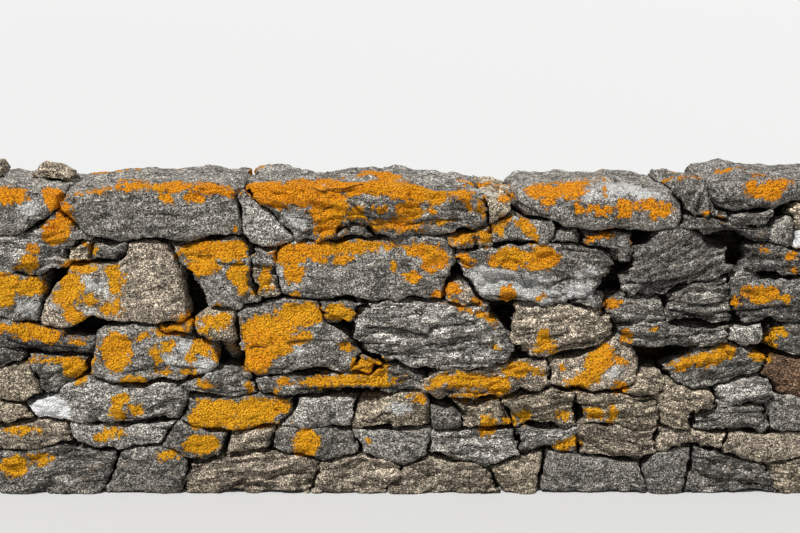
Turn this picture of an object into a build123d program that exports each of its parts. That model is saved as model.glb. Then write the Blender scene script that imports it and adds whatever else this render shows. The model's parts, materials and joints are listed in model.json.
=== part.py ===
from build123d import *
import math
import os
import random

# Driving dimensions of the wall, in millimetres
wall_length = 3000.0
wall_height = 780.0        # ground to the bed that carries the cap stones
cap_height = 170.0         # bed to the top arris of the tallest cap stone
base_thickness = 640.0     # front face to back face at the ground
bed_thickness = 460.0      # front face to back face under the cap stones
face_stone_depth = 195.0   # how far a face stone reaches into the wall
wedge_depth = 95.0         # how far a pinning or wedge reaches in
joint_clearance = 0.5      # dry joint between two bearing faces
arris_inset = 7.0          # how far the face of a stone is worn back from its joint
arris_depth = 24.0         # depth at which a stone reaches its full outline
bearing_depth = 120.0      # depth at which a face stone starts to taper
tail_inset = 16.0          # taper of the tail of a face stone
face_crown = 14.0          # how far the middle of a face stands proud
cap_crown = 9.0            # how far the top of a cap stone rises behind its arris
cap_shoulder = 95.0        # distance from the middle of the wall to that rise
cap_overhang = 10.0        # how far a cap stone stands out over the face
hearting_bays = 6
hearting_beds = (250.0, 510.0, 755.0)   # heights of the beds of the core on the joint map
loose_stone_height = 54.0
loose_stone_width = 60.0   # half its size across the wall

# The joint map is drawn for a wall of this length, height and cap height
map_length = 3000.0
map_height = 780.0
map_cap = 170.0
map_arris = 895.0          # every corner above this lies on the top arris

# Crossings of the joints on the front face: along the wall, and height above ground
crossings = {
    # top outline of the cap stones
    "t1": (-1500, 918), "t2": (-1350, 926), "t3": (-1200, 923), "t4": (-1008, 908),
    "t5": (-850, 928), "t6": (-700, 938), "t7": (-600, 943), "t8": (-480, 922),
    "t9": (-455, 932), "t10": (-335, 934), "t11": (-272, 922), "t12": (-100, 936),
    "t13": (90, 918), "t14": (228, 903), "t15": (300, 901), "t16": (342, 904),
    "t17": (400, 917), "t18": (540, 927), "t19": (652, 929), "t20": (760, 914),
    "t21": (806, 902), "t22": (835, 926), "t23": (920, 922), "t24": (945, 941),
    "t25": (1010, 950), "t26": (1330, 945), "t27": (1500, 922),
    # joints between the cap stones
    "m1": (338, 888), "m2": (257, 887), "m3": (268, 850), "m4": (840, 885),
    "m5": (934, 893), "m6": (-425, 868), "m7": (-372, 825),
    # bed under the cap stones
    "k1": (-1500, 782), "k2": (-1310, 781), "k3": (-1180, 785), "k4": (-1085, 812),
    "k5": (-1015, 861), "k6": (-970, 803), "k7": (-930, 770), "k8": (-818, 762),
    "k9": (-688, 764), "k10": (-478, 782), "k11": (-325, 773), "k12": (-215, 772),
    "k13": (-160, 812), "k14": (-115, 820), "k15": (-70, 778), "k16": (60, 778),
    "k17": (132, 775), "k18": (218, 802), "k19": (268, 812), "k20": (340, 848),
    "k21": (455, 822), "k22": (500, 800), "k23": (537, 798), "k24": (625, 798),
    "k25": (700, 786), "k26": (790, 795), "k27": (838, 806), "k28": (850, 846),
    "k29": (945, 826), "k30": (960, 862), "k31": (985, 853), "k32": (1112, 850),
    "k33": (1185, 878), "k34": (1340, 850), "k35": (1500, 848),
    # levelling stones under that bed, right end
    "p1": (985, 820), "p2": (1112, 812), "p3": (1105, 765), "p4": (1035, 772),
    "p5": (978, 792), "p6": (905, 783), "p7": (950, 757), "p8": (988, 752),
    "p9": (985, 658), "p10": (1038, 682), "p11": (1050, 748), "p12": (1160, 835),
    "p13": (1190, 800), "p14": (1340, 795), "p15": (1340, 738), "p16": (1272, 738),
    "p17": (1165, 738), "p18": (1500, 738),
    # upper course
    "q1": (1275, 652), "q2": (1110, 655), "q3": (1500, 642), "q4": (1350, 645),
    "q5": (795, 602), "q6": (900, 640), "q7": (755, 757), "q8": (708, 742),
    "q9": (705, 700), "q10": (655, 700), "q11": (600, 742), "q12": (540, 750),
    "q13": (440, 752), "q14": (335, 750), "q15": (272, 748), "q16": (232, 746),
    "q17": (165, 738), "q18": (470, 787), "q19": (618, 665), "q20": (702, 668),
    "q21": (667, 650), "q22": (668, 622), "q23": (690, 597), "q24": (622, 598),
    "q25": (588, 612), "q26": (603, 561), "q27": (508, 567), "q28": (440, 574),
    "q29": (358, 574), "q30": (250, 570), "q31": (208, 632), "q32": (186, 668),
    "q33": (166, 705), "q34": (175, 655), "q35": (139, 640), "q36": (133, 584),
    "q37": (200, 552), "q38": (0, 584), "q39": (-110, 586), "q40": (-245, 586),
    "q41": (-345, 597), "q42": (-365, 640), "q43": (-384, 692), "q44": (-378, 745),
    "q45": (-448, 752), "q46": (-450, 696), "q47": (-446, 640), "q48": (-405, 580),
    "q49": (-490, 554), "q50": (-582, 560), "q51": (-602, 636), "q52": (-668, 700),
    "q53": (-650, 650), "q54": (-632, 525), "q55": (-742, 507), "q56": (-835, 518),
    "q57": (-930, 525), "q58": (-1010, 500), "q59": (-1082, 514), "q60": (-1064, 595),
    "q61": (-1020, 665), "q62": (-1000, 698), "q63": (-928, 700), "q64": (-850, 698),
    "q65": (-1005, 742), "q66": (-1064, 668), "q67": (-1105, 672), "q68": (-1285, 673),
    "q69": (-1310, 674), "q70": (-1500, 672), "q71": (-1290, 528), "q72": (-1330, 528),
    "q73": (-1500, 530), "q74": (802, 521), "q75": (900, 518), "q76": (990, 514),
    "q77": (1010, 520), "q78": (1088, 515), "q79": (1290, 518), "q80": (1350, 518),
    "q81": (1500, 515), "q82": (690, 513), "q83": (645, 514),
    # middle courses
    "r1": (-892, 495), "r2": (-922, 467), "r3": (-1000, 478), "r4": (-625, 483),
    "r5": (-712, 478), "r6": (-497, 462), "r7": (-552, 459), "r8": (-553, 376),
    "r9": (-506, 381), "r10": (-462, 370), "r11": (-680, 333), "r12": (-755, 335),
    "r13": (-870, 338), "r14": (-935, 362), "r15": (-928, 425), "r16": (-1050, 423),
    "r17": (-1130, 430), "r18": (-1230, 448), "r19": (-1325, 446), "r20": (-1500, 440),
    "r21": (-1128, 395), "r22": (-1228, 372), "r23": (-1105, 360), "r24": (-1082, 305),
    "r25": (-1140, 268), "r26": (-1225, 288), "r27": (-1315, 289), "r28": (-1500, 285),
    "r29": (-985, 338), "r30": (-652, 298), "r31": (-580, 302), "r32": (-505, 288),
    "r33": (-428, 308), "r34": (-440, 360), "r35": (-300, 364), "r36": (-155, 372),
    "r37": (-105, 425), "r38": (-42, 399), "r39": (-90, 355), "r40": (-228, 512),
    "r41": (-142, 520), "r42": (-148, 479), "r43": (5, 397), "r44": (70, 352),
    "r45": (112, 387), "r46": (250, 387), "r47": (335, 410), "r48": (392, 421),
    "r49": (450, 410), "r50": (462, 375), "r51": (460, 332), "r52": (350, 461),
    "r53": (292, 520), "r54": (347, 530), "r55": (575, 429), "r56": (643, 476),
    "r57": (676, 455), "r58": (735, 380), "r59": (790, 384), "r60": (740, 448),
    "r61": (870, 452), "r62": (948, 454), "r63": (980, 470), "r64": (1050, 447),
    "r65": (1097, 456), "r66": (1140, 424), "r67": (1118, 418), "r68": (1290, 411),
    "r69": (1345, 402), "r70": (1500, 398), "r71": (880, 418), "r72": (1085, 363),
    "r73": (950, 320), "r74": (890, 312), "r75": (812, 350), "r76": (705, 334),
    "r77": (662, 306), "r78": (600, 303), "r79": (535, 317), "r80": (775, 301),
    "r81": (1152, 294), "r82": (1108, 263), "r83": (975, 257), "r84": (1272, 279),
    "r85": (1345, 276), "r86": (1500, 268),
    # lower course
    "s1": (74, 313), "s2": (-118, 294), "s3": (-315, 298), "s4": (310, 288),
    "s5": (200, 283), "s6": (152, 288), "s7": (-662, 245), "s8": (-672, 225),
    "s9": (-850, 209), "s10": (-1005, 223), "s11": (-1105, 217), "s12": (-1317, 210),
    "s13": (-605, 192), "s14": (-520, 188), "s15": (-375, 204), "s16": (-318, 250),
    "s17": (-148, 197), "s18": (-128, 235), "s19": (90, 266), "s20": (92, 195),
    "s21": (168, 263), "s22": (186, 238), "s23": (178, 195), "s24": (345, 200),
    "s25": (545, 205), "s26": (775, 205), "s27": (885, 190), "s28": (888, 238),
    "s29": (1000, 188), "s30": (1115, 187), "s31": (1130, 205), "s32": (1272, 190),
    # bed on the footings, and the ground
    "w1": (-1500, 130), "w2": (-1318, 142), "w3": (-1250, 122), "w4": (-980, 150),
    "w5": (-850, 128), "w6": (-720, 138), "w7": (-640, 96), "w8": (-538, 112),
    "w9": (-402, 130), "w10": (-235, 102), "w11": (-122, 118), "w12": (15, 84),
    "w13": (82, 122), "w14": (262, 80), "w15": (358, 116), "w16": (446, 142),
    "w17": (545, 118), "w18": (726, 86), "w19": (792, 124), "w20": (888, 146),
    "w21": (988, 124), "w22": (1110, 88), "w23": (1272, 114), "w24": (1340, 136),
    "w25": (1500, 130),
    "g1": (-1500, 0), "g2": (-1232, 0), "g3": (-905, 0), "g4": (-668, 0),
    "g5": (-262, 0), "g6": (-30, 0), "g7": (302, 0), "g8": (420, 0),
    "g9": (762, 0), "g10": (862, 0), "g11": (1162, 0), "g12": (1345, 0),
    "g13": (1500, 0),
}

# Each stone goes clockwise round its crossings, as the front of the wall is seen
cap_stones = [
    "t1 t2 t3 t4 k5 k4 k3 k2 k1",
    "t4 t5 t6 t7 t8 k10 k9 k8 k7 k6 k5",
    "t8 t9 t10 t11 t12 t13 t14 m2 m3 k19 k18 k17 k16 k15 k14 k13 k12 k11 m7 m6",
    "m1 t16 t17 t18 t19 t20 t21 m4 k28 k27 k26 k25 k24 k23 k22 k21 k20",
    "t23 t24 t25 t26 t27 k35 k34 k33 k32 k31 k30 m5",
]
cap_wedges = [
    "t14 t15 m1 k20 k19 m3 m2",
    "t21 t22 t23 m5 k30 k29 k28 m4",
]
left_end_stones = [
    "k1 k2 q69 q70",
    "q70 q69 q68 q71 q72 q73",
    "q73 q72 r19 r20",
    "r20 r19 r18 r22 r26 r27 r28",
    "r28 r27 s12 w2 w1",
    "w1 w2 w3 g2 g1",
]
right_end_stones = [
    "k34 k35 p18 p15 p14",
    "p16 p15 p18 q3 q4 q1",
    "q4 q3 q81 q80",
    "q79 q80 q81 r70 r69 r68",
    "r69 r70 r86 r85",
    "r84 r85 r86 w25 w24 w23 s32",
    "w24 w25 g13 g12",
]
face_courses = {
    "footings": [
        "w3 w4 w5 g3 g2", "w5 w6 w7 g4 g3", "w7 w8 w9 w10 g5 g4", "w10 w11 w12 g6 g5",
        "w12 w13 w14 g7 g6", "w14 w15 w16 g8 g7", "w16 w17 w18 g9 g8",
        "w18 w19 w20 g10 g9", "w20 w21 w22 g11 g10", "w22 w23 w24 g12 g11",
    ],
    "first_course": [
        "s12 s11 s10 w4 w3 w2", "s10 s9 s8 w6 w5 w4", "s8 s13 s14 w8 w7 w6",
        "s14 s15 w9 w8", "s15 s17 w11 w10 w9", "s17 s20 w13 w12 w11",
        "s20 s23 s24 w15 w14 w13", "s24 s25 w17 w16 w15", "s25 s26 w19 w18 w17",
        "s26 s27 s29 w21 w20 w19", "s29 s30 s32 w23 w22 w21",
    ],
    "second_course": [
        "r27 r26 r25 s11 s12", "r25 r24 r29 r14 r13 r12 r11 r30 s7 s8 s9 s10 s11",
        "r30 r31 r32 r33 s3 s16 s15 s14 s13 s8 s7", "s3 s2 s18 s17 s15 s16",
        "s2 s1 s19 s20 s17 s18", "s19 s21 s22 s23 s20", "s6 s5 s4 s24 s23 s22 s21",
        "s4 r51 r79 s25 s24", "r79 r78 r77 r80 s26 s25",
        "r80 r75 r74 r73 r83 s28 s27 s26", "s28 r83 r82 s31 s30 s29 s27",
        "r82 r81 r84 s32 s30 s31",
    ],
    "third_course": [
        "r18 r17 r21 r22", "r22 r21 r23 r24 r25 r26", "r17 r16 r15 r14 r29 r24 r23 r21",
        "r2 r1 q56 q55 r5 r4 r7 r8 r11 r12 r13 r14 r15", "r11 r8 r9 r10 r34 r33 r32 r31 r30",
        "r34 r35 r36 r39 r38 r43 r44 s1 s2 s3 r33",
        "r44 r45 r46 r47 r48 r49 r50 r51 s4 s5 s6 s1",
        "r49 r55 r56 r57 r58 r76 r77 r78 r79 r51 r50", "r58 r59 r75 r80 r77 r76",
        "r59 r71 r62 r63 r64 r67 r72 r73 r74 r75", "r72 r67 r66 r68 r69 r85 r84 r81",
        "r73 r72 r81 r82 r83",
    ],
    "fourth_course": [
        "q72 q71 q59 q58 r3 r2 r15 r16 r17 r18 r19",
        "q49 q48 q41 q40 r40 r42 r37 r36 r35 r34 r10 r6",
        "r42 r41 q39 q38 q36 q37 q30 r53 r52 r47 r46 r45 r43 r38 r37",
        "r54 q29 q28 q27 q26 q83 r56 r55 r49 r48 r52",
        "q83 q82 q74 q75 q76 r63 r62 r61 r60 r57 r56",
        "q76 q77 q78 r65 r64 r63", "q78 q79 r68 r66 r65",
    ],
    "fifth_course": [
        "q68 q67 q66 q60 q59 q71",
        "q62 q63 q64 k8 k9 q52 q53 q54 q55 q56 q57 q58 q59 q60 q61",
        "k9 k10 q45 q46 q47 q48 q49 q50 q51 q52",
        "q44 k11 k12 k15 k16 k17 q17 q33 q35 q36 q38 q39 q40 q41 q42 q43",
        "q17 q16 q15 q14 q13 q12 q11 q10 q19 q25 q27 q28 q29 q30 q31 q32 q33",
        "q35 q34 q31 q30 q37 q36", "q24 q23 q5 q74 q82 q83 q26",
        "q7 k26 k27 p6 p7 p8 p9 q6 q5 q23 q22 q21 q20 q9 q8",
        "q5 q6 p9 q77 q76 q75 q74", "p9 p10 q2 q1 q4 q80 q79 q78 q77",
    ],
    "levelling_course": [
        "k2 k3 k4 k5 k6 k7 q65 q62 q66 q67 q68 q69", "k7 k8 q64 q63",
        "k19 k20 k21 q18 q13 q14 q15", "q18 k22 k23 q12 q13",
        "k23 k24 k25 q8 q9 q10 q11 q12", "k27 k28 k29 p1 p2 p3 p4 p5 p6",
        "p11 p3 p17 p16 q1 q2 p10", "p13 p14 p15 p16 p17", "k33 k34 p14 p13 p12",
    ],
}
pinnings = [
    "q65 k7 q63 q62", "t8 m6 m7 k11 q44 q45 k10", "q45 q44 q43 q46",
    "q46 q43 q42 q41 q48 q47", "k12 k13 k14 k15", "k17 k18 q16 q17", "k18 k19 q15 q16",
    "k31 k32 p2 p1", "k30 k31 p1 k29", "p2 p12 p13 p17 p3", "q25 q24 q26 q27",
    "q55 q54 r4 r5", "q54 q50 q49 r6 r7 r4", "q40 q39 r41 r40", "r36 r37 r38 r39",
]

# Loose stones on the left cap stone: the arris each lies behind, and its span along it
loose_stones = [("t2", "t3", 0.40, 0.82), ("t3", "t4", 0.24, 0.92)]

front = -1
back = 1
crown_seed = 11            # fixes the crowns, so that both faces stand out alike


def along(x):
    """Place along the wall of a distance on the joint map."""
    return x * wall_length / map_length


def level(z):
    """Height above ground of a height on the joint map."""
    if z <= map_height:
        return z * wall_height / map_height
    return wall_height + (z - map_height) * cap_height / map_cap


def half_thickness(z):
    """Distance from the middle of the wall to its battered face."""
    lean = (base_thickness - bed_thickness) / wall_height
    return (base_thickness - lean * z) / 2


def outline(names):
    """The corners of a stone on the face, turned anticlockwise."""
    corners = [crossings[name] for name in names.split()]
    return [(along(x), level(z)) for x, z in reversed(corners)]


def area_of(points):
    total = 0.0
    for (x1, z1), (x2, z2) in zip(points, points[1:] + points[:1]):
        total += x1 * z2 - x2 * z1
    return total / 2


def directions(points):
    """Unit vector along each side, from its corner to the next."""
    result = []
    for (x1, z1), (x2, z2) in zip(points, points[1:] + points[:1]):
        size = math.hypot(x2 - x1, z2 - z1)
        result.append(((x2 - x1) / size, (z2 - z1) / size))
    return result


def turns(points):
    """Tangent of half the turn at each corner, positive where the outline is convex."""
    sides = directions(points)
    result = []
    for before, after in zip(sides[-1:] + sides[:-1], sides):
        cross = before[0] * after[1] - before[1] * after[0]
        dot = before[0] * after[0] + before[1] * after[1]
        result.append(math.tan(math.atan2(cross, dot) / 2))
    return result


def room(points):
    """How far an outline can be drawn in before its first side shrinks to nothing."""
    half_turns = turns(points)
    closing = [a + b for a, b in zip(half_turns, half_turns[1:] + half_turns[:1])]
    limits = [abs(area_of(points)) ** 0.5]
    for (x1, z1), (x2, z2), rate in zip(points, points[1:] + points[:1], closing):
        if rate > 0:
            limits.append(math.hypot(x2 - x1, z2 - z1) / rate)
    return min(limits)


def inset(points, distance):
    """The outline drawn in by a distance, apart from a side that lies on the ground."""
    sides = directions(points)
    on_ground = [a[1] == 0 and b[1] == 0 for a, b in zip(points, points[1:] + points[:1])]
    result = []
    for i, (x, z) in enumerate(points):
        before, after = sides[i - 1], sides[i]
        d1 = 0 if on_ground[i - 1] else distance
        d2 = 0 if on_ground[i] else distance
        cross = before[0] * after[1] - before[1] * after[0]
        if abs(cross) < 1e-6:
            result.append((x - before[1] * d1, z + before[0] * d1))
        else:
            result.append((x + (after[0] * d1 - before[0] * d2) / cross,
                           z + (after[1] * d1 - before[1] * d2) / cross))
    return result


def ring(points, depth, side):
    """An outline as points in space, at a depth behind the battered face."""
    return [(x, side * (half_thickness(z) - depth), z) for x, z in points]


def cross_ring(points, y):
    """An outline as points in space, upright at a place across the wall."""
    return [(x, y, z) for x, z in points]


def quad(a, b, c, d):
    """One flat side between two rings, or two triangles where it would be twisted.

    The fold of a twisted side starts at its lower corner, so neighbours fold alike."""
    ab, ac, ad = (Vector(*p) - Vector(*a) for p in (b, c, d))
    if abs(ab.cross(ac).dot(ad)) < 1e-3:
        return [Face(Wire.make_polygon([a, b, c, d]))]
    if a[2] < b[2]:
        return [Face(Wire.make_polygon([a, b, c])), Face(Wire.make_polygon([a, c, d]))]
    return [Face(Wire.make_polygon([a, b, d])), Face(Wire.make_polygon([b, c, d]))]


def skin(rings, first, last):
    """A solid through a row of rings, closed by a crown point or by a flat end."""
    faces = []
    for near, far in zip(rings, rings[1:]):
        for i in range(len(near)):
            faces += quad(near[i - 1], near[i], far[i], far[i - 1])
    for end, tip in ((rings[0], first), (rings[-1], last)):
        if tip is None:
            faces.append(Face(Wire.make_polygon(end)))
        else:
            faces += [Face(Wire.make_polygon([end[i - 1], end[i], tip])) for i in range(len(end))]
    return Solid(Shell(faces))


def worn_rings(points, side, overhang):
    """The rings of a worn arris, from the face back to the full outline."""
    draw_in = min(arris_inset, 0.6 * room(points))
    steps = ((draw_in, 0.0), (draw_in * 0.3, arris_depth * 0.4), (0.0, arris_depth))
    return [ring(inset(points, d), depth - overhang, side) for d, depth in steps]


def crown_point(points, side, height):
    """The proudest point of a face, near the middle of its outline."""
    worn = inset(points, min(arris_inset, 0.6 * room(points)))
    size = area_of(worn)
    x = z = 0.0
    for (x1, z1), (x2, z2) in zip(worn, worn[1:] + worn[:1]):
        part = (x1 * z2 - x2 * z1) / (6 * size)
        x += (x1 + x2) * part
        z += (z1 + z2) * part
    return (x, side * (half_thickness(z) + height), z)


def face_stone(names, side, depth):
    """A stone of one face: worn arris, bearing faces, and a tail that tapers."""
    points = inset(outline(names), joint_clearance / 2)
    rings = worn_rings(points, side, 0.0)
    bearing = min(bearing_depth, 0.7 * depth)
    tail = inset(points, min(tail_inset, 0.6 * room(points)))
    rings.append(ring(points, bearing, side))
    rings.append(ring(tail, depth, side))
    crown = face_crown * chance.uniform(0.4, 1.0)
    return skin(rings, crown_point(points, side, crown), None)


def raised(points, rise):
    """An outline with the corners of its top arris lifted."""
    return [(x, z + rise if z > level(map_arris) else z) for x, z in points]


def through_stone(names, overhang, rise):
    """A stone that spans the wall from face to face."""
    points = inset(outline(names), joint_clearance / 2)
    upper = raised(points, rise)
    rings = worn_rings(points, front, overhang)
    rings += [cross_ring(upper, -cap_shoulder), cross_ring(upper, cap_shoulder)]
    rings += reversed(worn_rings(points, back, overhang))
    crown = face_crown * chance.uniform(0.5, 1.0)
    return skin(rings, crown_point(points, front, crown + overhang),
                crown_point(points, back, crown + overhang))


def loose_stone(start, end, near, far):
    """A small stone that lies on the crown of a cap stone."""
    (x1, z1), (x2, z2) = (outline(name)[0] for name in (start, end))
    slope = (z2 - z1) / (x2 - x1)
    lift = cap_crown - joint_clearance / 2
    left = x1 + near * (x2 - x1)
    right = x1 + far * (x2 - x1)
    base_left = z1 + near * (z2 - z1) + lift + joint_clearance
    base_right = base_left + slope * (right - left)
    width = right - left
    points = [
        (left, base_left), (right, base_right),
        (right + 0.06 * width, base_right + 0.45 * loose_stone_height),
        (right - 0.28 * width, base_right + loose_stone_height),
        (left + 0.24 * width, base_left + 0.86 * loose_stone_height),
    ]
    small = [(x, z) for x, z in points]
    ends = shrunk(small, 0.72)
    rings = [cross_ring(ends, -loose_stone_width), cross_ring(small, -0.5 * loose_stone_width),
             cross_ring(small, 0.5 * loose_stone_width), cross_ring(ends, loose_stone_width)]
    return skin(rings, None, None)


def shrunk(points, share):
    """An outline drawn together about the middle of its base, which stays on its bed."""
    x0 = (points[0][0] + points[1][0]) / 2
    z0 = (points[0][1] + points[1][1]) / 2
    return [(x0 + share * (x - x0), z0 + share * (z - z0)) for x, z in points]


def hearting(lower, upper):
    """One lift of the packed core between the tails of the face stones."""
    left = max(outline(name)[0][0] for name in ("q68", "r26", "w3"))
    right = min(outline(name)[0][0] for name in ("p16", "r84", "w23"))
    bay = (right - left) / hearting_bays
    blocks = []
    for i in range(hearting_bays):
        x1 = left + i * bay + joint_clearance
        x2 = left + (i + 1) * bay
        z1 = lower + joint_clearance if lower else 0.0
        points = [(x1, z1), (x2, z1), (x2, upper), (x1, upper)]
        reach = face_stone_depth + joint_clearance
        blocks.append(skin([ring(points, reach, front), ring(points, reach, back)], None, None))
    return blocks


def write(name, solids):
    """Write one named piece as a STEP file."""
    shape = solids[0] if len(solids) == 1 else Compound(children=solids)
    shape.label = name
    export_step(shape, os.path.join("parts", name + ".step"))


chance = random.Random(crown_seed)
os.makedirs("parts", exist_ok=True)

for number, names in enumerate(cap_stones, 1):
    write(f"cap_stone_{number}", [through_stone(names, cap_overhang, cap_crown)])
write("cap_wedges", [through_stone(names, cap_overhang, cap_crown) for names in cap_wedges])
write("left_end_stones", [through_stone(names, 0.0, 0.0) for names in left_end_stones])
write("right_end_stones", [through_stone(names, 0.0, 0.0) for names in right_end_stones])

for side, label in ((front, "front"), (back, "back")):
    chance.seed(crown_seed)
    for course, stones in face_courses.items():
        solids = [face_stone(names, side, face_stone_depth) for names in stones]
        write(f"{label}_{course}", solids)
    write(f"{label}_pinnings", [face_stone(names, side, wedge_depth) for names in pinnings])

lifts = [0.0] + [level(bed) for bed in hearting_beds]
for label, lower, upper in zip(("lower", "middle", "upper"), lifts, lifts[1:]):
    write(f"{label}_hearting", hearting(lower, upper))
write("loose_top_stones", [loose_stone(*place) for place in loose_stones])
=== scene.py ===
import json
import math
from collections import defaultdict

import bpy
import numpy as np
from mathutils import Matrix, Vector


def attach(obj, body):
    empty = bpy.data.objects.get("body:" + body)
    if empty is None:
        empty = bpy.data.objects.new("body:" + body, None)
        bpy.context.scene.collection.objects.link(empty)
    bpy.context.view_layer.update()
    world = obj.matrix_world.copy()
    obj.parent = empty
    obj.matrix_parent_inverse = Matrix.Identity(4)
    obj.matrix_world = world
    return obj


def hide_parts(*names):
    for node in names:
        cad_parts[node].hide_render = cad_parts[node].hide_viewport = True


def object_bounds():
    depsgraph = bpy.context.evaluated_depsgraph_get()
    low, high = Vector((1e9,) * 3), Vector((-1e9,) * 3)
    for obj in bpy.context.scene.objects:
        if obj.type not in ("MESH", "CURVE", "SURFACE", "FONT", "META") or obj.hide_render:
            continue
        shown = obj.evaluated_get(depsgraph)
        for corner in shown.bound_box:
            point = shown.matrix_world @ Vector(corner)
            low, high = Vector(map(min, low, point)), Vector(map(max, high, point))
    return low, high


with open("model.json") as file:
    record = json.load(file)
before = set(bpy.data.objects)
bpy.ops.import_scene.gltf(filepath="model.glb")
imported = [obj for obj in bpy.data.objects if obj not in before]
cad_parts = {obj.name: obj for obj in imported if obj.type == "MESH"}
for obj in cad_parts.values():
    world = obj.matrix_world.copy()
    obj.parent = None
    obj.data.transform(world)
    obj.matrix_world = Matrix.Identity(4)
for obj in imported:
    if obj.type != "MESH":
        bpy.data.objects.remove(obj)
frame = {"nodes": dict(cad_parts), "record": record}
cad_low, cad_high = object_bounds()

# Sizes in metres, angles in degrees
SEED = 7
FRONT_VOXEL = 0.0056       # mesh size of the face that the camera sees
BACK_VOXEL = 0.010
CORE_VOXEL = 0.022
SMALL_VOXEL = 0.0045
FRONT_KEPT = 0.46          # part of the mesh faces that stays
BACK_KEPT = 0.55
CORE_KEPT = 0.6
SMALL_KEPT = 0.7
SMOOTH_VOXEL = 0.0065      # the mesh size that the rounding passes are counted for
SMALL_STONE = 0.09         # a stone thinner than this keeps sharper arrises
SMALL_PASSES = 8
BOX_MARGIN = 0.0004
WARPS = ((0.12, 0.010, 1), (0.048, 0.006, 2))      # size of a bend, how far it reaches, seed
WARP_FADE = (0.01, 0.12)   # this near the ground and the ends the warp dies away
JOINT_FADE = (0.045, 0.120)                        # this deep in a joint the weathering dies away
LUMP_SIZE = 0.150          # width of each kind of relief
DENT_SIZE = 0.055
GRIT_SIZE = 0.020
LEAF_LENGTH = 0.016        # thin leaves of foliation, between the slabs
LEAF = 0.012
BED_HEIGHT = 0.780
BASE_HALF = 0.320
BED_HALF = 0.230
CAP_LEVEL = 0.875
CAMERA_PLACE = (0, -4.3, 1.5)
CAMERA_PITCH = 11.3
CAMERA_LENS = 62.1
SENSOR_WIDTH = 36.0
SHOWN_HALF = 1.22          # the photograph shows the wall this far to each side
STONE_REACH = 0.07         # a stone this near a row of FACE_STONES is that stone
CAP_REACH = 0.17
FLOOR_REACH = 400
FLOOR_COLOUR = (0.54, 0.54, 0.53)
SKY_COLOUR = (0.96, 0.98, 1.0, 1)
SKY_LIGHT = 0.36           # strength of the sky that lights the wall
SKY_SEEN = 0.93            # and of the pale background, about as light as the floor
KEY_SUN = ((-2.2, -2.8, 5.2), 4.5, 4.1)            # place, softness in degrees, strength
FILL_SUN = ((3.0, 4.0, 3.4), 25, 0.7)

# How strongly each kind of rock is shaped: rounding passes, then the depth in metres of
# lumps, dents, grit and foliation, and how long its foliation is against its thickness
ROCKS = {
    "granite": {"round": 7, "lump": 0.012, "dent": 0.0065, "grit": 0.0036, "ledge": 0.0050, "stretch": 2.5},
    "boulder": {"round": 70, "lump": 0.012, "dent": 0.0050, "grit": 0.0026, "ledge": 0.0015, "stretch": 2.5},
    "gneiss": {"round": 6, "lump": 0.012, "dent": 0.0060, "grit": 0.0036, "ledge": 0.0140, "stretch": 3.5},
    "veined": {"round": 6, "lump": 0.010, "dent": 0.0060, "grit": 0.0030, "ledge": 0.0090, "stretch": 3.0},
    "schist": {"round": 4, "lump": 0.010, "dent": 0.0050, "grit": 0.0032, "ledge": 0.0170, "stretch": 5.0},
    "chip": {"round": 4, "lump": 0.005, "dent": 0.0040, "grit": 0.0026, "ledge": 0.0040, "stretch": 2.5},
}
STREAKS = {"granite": 0.12, "boulder": 0.10, "gneiss": 0.6, "veined": 0.4, "schist": 1.0, "chip": 0.4}
SLAB = 0.030               # thickness of one slab of foliation
SLAB_LENGTH = 0.034        # its length, before the rock's own stretch
SLAB_WANDER = (0.11, 0.11, 0.06)                   # size of the bends in its beds
LEDGE_REACH = 0.030        # how far below its edge a broken ledge is still told apart
LEDGE_END = 0.012          # its ends taper over this length

# What a stone that the photograph doesn't show may be
OTHER_ROCKS = ("granite", "granite", "gneiss", "gneiss", "schist")
OTHER_TONES = ("grey", "grey", "brown", "pale", "dark", "beige")
TONE_ODDS = (0.3, 0.2, 0.2, 0.1, 0.1, 0.1)
OTHER_ANGLE = 14

# Rock colours, linear
TONES = {
    "grey": (0.225, 0.209, 0.183),
    "brown": (0.385, 0.320, 0.245),
    "dark": (0.185, 0.173, 0.155),
    "pale": (0.350, 0.328, 0.292),
    "beige": (0.380, 0.316, 0.232),
    "rust": (0.170, 0.104, 0.064),
    "white": (0.720, 0.710, 0.690),
}
BRIGHTEST = 0.58           # lighter than this only quartz gets
TONE_SPREAD = (0.90, 1.12)                         # how far one stone's tone strays from its row's
LOW_LIGHTNESS = 0.80            # the lowest stones keep this part of their lightness
LOW_DARK_HEIGHTS = (0.15, 0.40)                        # from the first height up it comes back
CRUST_BEND = 0.045         # size of the bends in the edges of crust patches

# Crust, stain, ledge and dirt colours, linear. The crust's glint is a painted highlight; its dip, rim and
# crevice colours are painted shade; the ledge colour is painted shadow; the dirt colour is dirt and painted
# shade deep in the joints
ORANGE_CRUST = (1.00, 0.345, 0.003, 1)
YELLOW_CRUST = (0.98, 0.460, 0.009, 1)
CRUST_GLINT = (1.00, 0.560, 0.045, 1)
# painted shade colours for the crust's dips, the rims between its lobes and its crevices
CRUST_DIP_SHADE = (0.42, 0.125, 0.004, 1)
CRUST_RIM_SHADE = (0.24, 0.075, 0.004, 1)
CRUST_CREVICE_SHADE = (0.06, 0.030, 0.010, 1)
PALE_CRUST = ((0.36, 0.355, 0.335, 1), (0.80, 0.79, 0.76, 1))
QUARTZ_WHITE = (0.82, 0.82, 0.81, 1)
STAIN = (0.15, 0.095, 0.050, 1)
LEDGE_SHADE = (0.020, 0.018, 0.015, 1)
# dirt and painted shade for points deep in the joints
DIRT_AND_PAINTED_SHADE = (0.070, 0.064, 0.053, 1)
STONE_ROUGHNESS = 0.95
STONE_SHINE = 0.12
BUMP_DEPTH = 0.016

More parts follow.
